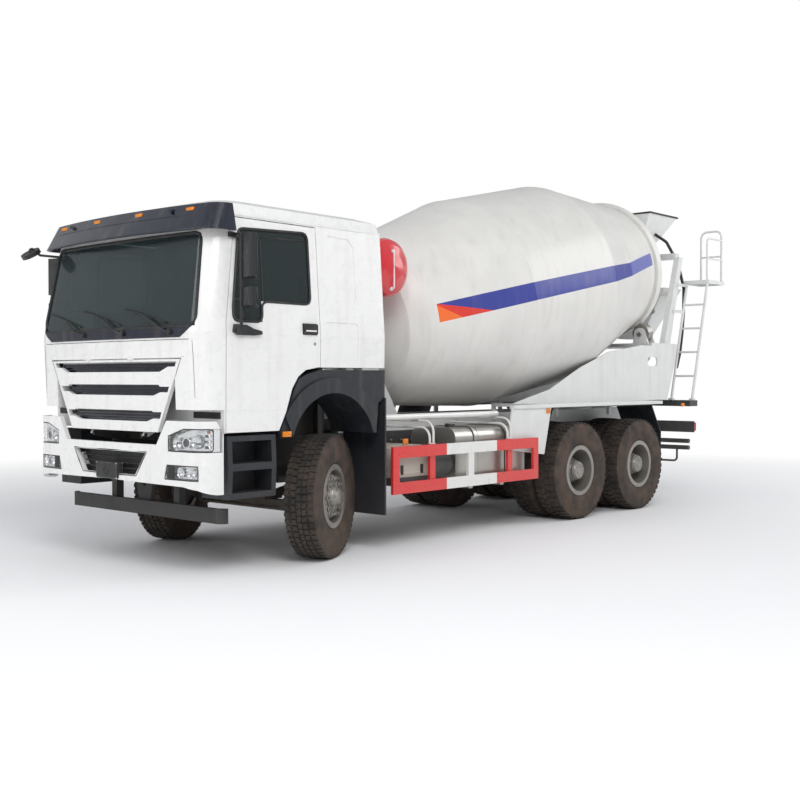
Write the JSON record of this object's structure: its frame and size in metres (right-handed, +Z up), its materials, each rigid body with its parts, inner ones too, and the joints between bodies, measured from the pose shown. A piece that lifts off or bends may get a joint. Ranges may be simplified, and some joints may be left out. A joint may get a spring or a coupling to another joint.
{
  "type": "concrete mixer truck",
  "caption": "Truck that carries and pours mixed concrete: tilting cab, inclined turning drum on a frame, charge hopper, swinging discharge chute, water tank and rear ladder.",
  "frame": {"origin": "middle of the truck's outline, on the ground", "axes": "+X points forward, +Y to the vehicle's left, +Z up"},
  "size_m": [9.4983, 3.0124, 4.0347],
  "materials": {
    "axle_iron": "dark painted casting under dust",
    "dark_steel": "dark grey paint, dusty",
    "dash_plastic": "grained plastic",
    "drum_paint": "white paint with a blue band, orange-red darts and a blue-violet rear cone",
    "frame_black": "satin black chassis paint under dust",
    "guard_red_white": "red and white painted rails",
    "lamp_lens": "clear lamp lenses with amber indicators",
    "painted_white": "satin white paint, lightly dusty",
    "rear_lamp_red": "red lamp lenses",
    "roller_steel": "worn bare steel",
    "seat_cloth": "woven cloth",
    "spring_steel": "dark leaf steel",
    "step_grey": "grey paint, worn",
    "tank_metal": "dull metal tank",
    "tank_red": "red paint",
    "trim_plastic": "dark grey textured plastic",
    "tyre_rubber": "black rubber with brown dust",
    "visor_black": "navy-black gloss",
    "wheel_steel": "grey painted steel rim, dusty",
    "window_glass": "lightly tinted safety glass"
  },
  "bodies": {
    "chassis": {"air_intake": "trim_plastic", "axle_beams": "axle_iron", "battery_box_and_air_tanks": "dark_steel", "cab_steps": "trim_plastic", "charge_hopper": "painted_white", "chassis_frame": "frame_black", "discharge_funnel": "painted_white", "drum_drive": "axle_iron", "engine_block": "axle_iron", "exhaust_silencer": "dark_steel", "front_bumper": "painted_white", "front_lamps": "lamp_lens", "front_mudguards": "trim_plastic", "front_under_run_bar": "step_grey", "fuel_tank": "tank_metal", "ladder_platform": "painted_white", "mixer_subframe": "painted_white", "rear_lamps": "rear_lamp_red", "rear_mudguard_tops": "painted_white", "rear_plank": "dark_steel", "rear_stand": "painted_white", "rear_under_run": "dark_steel", "rear_wheel_covers": "trim_plastic", "side_guards": "guard_red_white", "suspension_springs": "spring_steel", "water_tank": "tank_red"},
    "cab": {"cab_shell": "painted_white", "windscreen": "window_glass", "sun_visor": "visor_black", "seats": "seat_cloth", "dashboard": "dash_plastic", "front_view_mirror": "trim_plastic"},
    "door_left": {"door_left": "painted_white", "door_glass_left": "window_glass", "mirrors_left": "trim_plastic"},
    "door_right": {"door_right": "painted_white", "door_glass_right": "window_glass", "mirrors_right": "trim_plastic"},
    "front_lid": {"grille_lid": "painted_white"},
    "knuckle_left": {"steering_knuckle_left": "axle_iron"},
    "knuckle_right": {"steering_knuckle_right": "axle_iron"},
    "tie_rod": {"tie_rod": "axle_iron"},
    "front_wheel_left": {"front_tyre_left": "tyre_rubber", "front_wheel_left": "wheel_steel"},
    "front_wheel_right": {"front_tyre_right": "tyre_rubber", "front_wheel_right": "wheel_steel"},
    "rear_wheels_1_left": {"rear_tyres_1_left": "tyre_rubber", "rear_wheels_1_left": "wheel_steel"},
    "rear_wheels_1_right": {"rear_tyres_1_right": "tyre_rubber", "rear_wheels_1_right": "wheel_steel"},
    "rear_wheels_2_left": {"rear_tyres_2_left": "tyre_rubber", "rear_wheels_2_left": "wheel_steel"},
    "rear_wheels_2_right": {"rear_tyres_2_right": "tyre_rubber", "rear_wheels_2_right": "wheel_steel"},
    "drum": {"drum_shell": "drum_paint"},
    "roller_left": {"drum_roller_left": "roller_steel"},
    "roller_right": {"drum_roller_right": "roller_steel"},
    "chute_swivel": {"chute_swivel": "dark_steel"},
    "chute": {"discharge_chute": "step_grey"}
  },
  "joints": [
    {"name": "cab_tilt", "type": "hinge", "parent": "chassis", "child": "cab", "pos_m": [4.59, 0, 1.15], "axis": [0, 1, 0], "range_deg": [0, 45]},
    {"name": "door_left_hinge", "type": "hinge", "parent": "cab", "child": "door_left", "pos_m": [4.417, 1.245, 2], "axis": [0, 0, -1], "range_deg": [0, 70]},
    {"name": "door_right_hinge", "type": "hinge", "parent": "cab", "child": "door_right", "pos_m": [4.417, -1.245, 2], "axis": [0, 0, 1], "range_deg": [0, 70]},
    {"name": "front_lid_hinge", "type": "hinge", "parent": "cab", "child": "front_lid", "pos_m": [4.684, 0, 1.785], "axis": [0, -1, 0], "range_deg": [0, 80]},
    {"name": "steer_left", "type": "hinge", "parent": "chassis", "child": "knuckle_left", "pos_m": [3.19, 0.84, 0.562], "axis": [0, 0, 1], "range_deg": [-63, 13]},
    {"name": "steer_right", "type": "hinge", "parent": "chassis", "child": "knuckle_right", "pos_m": [3.19, -0.84, 0.562], "axis": [0, 0, 1], "range_deg": [-63, 13]},
    {"name": "tie_rod_pin", "type": "hinge", "parent": "knuckle_left", "child": "tie_rod", "pos_m": [3.00874, 0.75548, 0.562], "axis": [0, 0, 1], "range_deg": [-13, 63]},
    {"name": "front_wheel_left_spin", "type": "hinge", "parent": "knuckle_left", "child": "front_wheel_left", "pos_m": [3.11773, 0.99498, 0.562], "axis": [-0.4226, 0.9063, 0], "continuous": true},
    {"name": "front_wheel_right_spin", "type": "hinge", "parent": "knuckle_right", "child": "front_wheel_right", "pos_m": [3.26227, -0.99498, 0.562], "axis": [-0.4226, 0.9063, 0], "continuous": true},
    {"name": "rear_wheels_1_left_spin", "type": "hinge", "parent": "chassis", "child": "rear_wheels_1_left", "pos_m": [-0.835, 0.915, 0.562], "axis": [0, 1, 0], "continuous": true},
    {"name": "rear_wheels_1_right_spin", "type": "hinge", "parent": "chassis", "child": "rear_wheels_1_right", "pos_m": [-0.835, -0.915, 0.562], "axis": [0, 1, 0], "continuous": true},
    {"name": "rear_wheels_2_left_spin", "type": "hinge", "parent": "chassis", "child": "rear_wheels_2_left", "pos_m": [-2.185, 0.915, 0.562], "axis": [0, 1, 0], "continuous": true},
    {"name": "rear_wheels_2_right_spin", "type": "hinge", "parent": "chassis", "child": "rear_wheels_2_right", "pos_m": [-2.185, -0.915, 0.562], "axis": [0, 1, 0], "continuous": true},
    {"name": "drum_spin", "type": "hinge", "parent": "chassis", "child": "drum", "pos_m": [1.374, 0, 2.226], "axis": [-0.982, 0, 0.1889], "continuous": true},
    {"name": "roller_left_spin", "type": "hinge", "parent": "chassis", "child": "roller_left", "pos_m": [-3.36815, 0.59291, 2.24319], "axis": [-0.982, 0, 0.1889], "continuous": true},
    {"name": "roller_right_spin", "type": "hinge", "parent": "chassis", "child": "roller_right", "pos_m": [-3.36815, -0.59291, 2.24319], "axis": [-0.982, 0, 0.1889], "continuous": true},
    {"name": "chute_swing", "type": "hinge", "parent": "chassis", "child": "chute_swivel", "pos_m": [-4.14, 0, 1.45], "axis": [0, 0, -1], "range_deg": [0, 120]},
    {"name": "chute_raise", "type": "hinge", "parent": "chute_swivel", "child": "chute", "pos_m": [-4.14, 0, 1.755], "axis": [-0.9848, 0.1736, 0], "range_deg": [-20, 40]}
  ],
  "couplings": [
    {"joint": "steer_right", "follows": "steer_left", "ratio": 1},
    {"joint": "tie_rod_pin", "follows": "steer_left", "ratio": -1},
    {"joint": "roller_left_spin", "follows": "drum_spin", "ratio": -7.48},
    {"joint": "roller_right_spin", "follows": "drum_spin", "ratio": -7.48}
  ]
}
